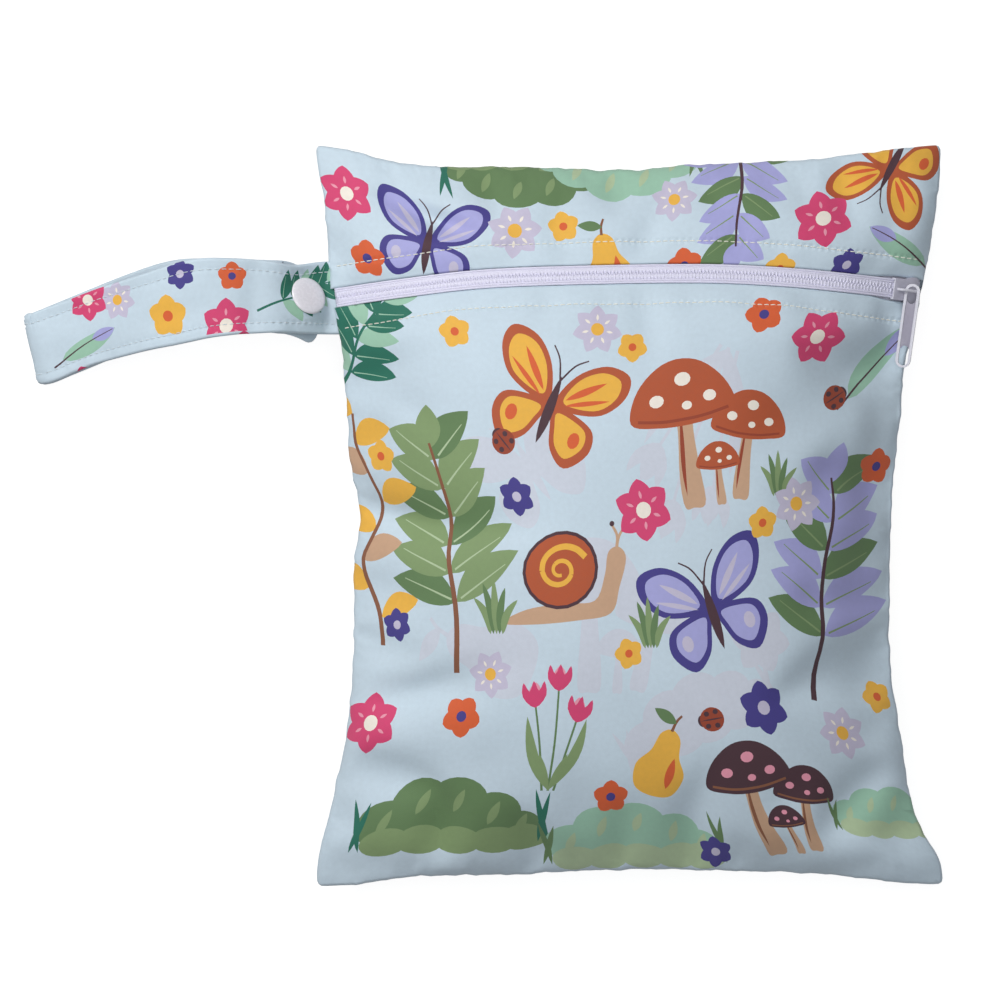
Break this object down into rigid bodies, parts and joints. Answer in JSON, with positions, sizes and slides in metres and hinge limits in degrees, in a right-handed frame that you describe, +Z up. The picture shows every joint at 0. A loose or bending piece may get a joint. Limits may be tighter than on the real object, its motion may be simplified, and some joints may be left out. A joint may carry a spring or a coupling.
{
  "type": "cloth diaper wet bag",
  "caption": "Small zipped cloth wet bag for diapers, softly filled and lying on its back, with a snap loop at its left seam.",
  "frame": {"origin": "middle of the flat on which the bag's back rests", "axes": "+X towards the bag's right side, away from the loop, +Y towards its top edge, +Z up from the floor through the front"},
  "size_m": [0.2942, 0.237, 0.0521],
  "materials": {
    "printed_cloth": "smooth waterproof knit, pale blue with small scattered motifs",
    "zip_polyester": "woven tape and nylon coils, pale lavender",
    "white_enamel": "smooth pale enamel on a die-cast slider and pull",
    "white_plastic": "moulded, glossy"
  },
  "bodies": {
    "bag": {"back_panel": "printed_cloth", "front_lower_panel": "printed_cloth", "front_upper_panel": "printed_cloth", "zip_tape_upper": "zip_polyester", "zip_tape_lower": "zip_polyester", "zip_coil_upper": "zip_polyester", "zip_coil_lower": "zip_polyester", "zip_slider": "white_enamel", "strap": "printed_cloth", "snap_cap": "white_plastic", "snap_socket": "white_plastic", "snap_stud": "white_plastic", "snap_back_cap": "white_plastic"},
    "pull": {"zip_pull": "white_enamel"}
  },
  "joints": [
    {"name": "pull_swing", "type": "hinge", "parent": "bag", "child": "pull", "pos_m": [0.091, 0.07192, 0.02612], "axis": [-0.872, 0.0941, 0.4803], "range_deg": [0, 165]}
  ]
}
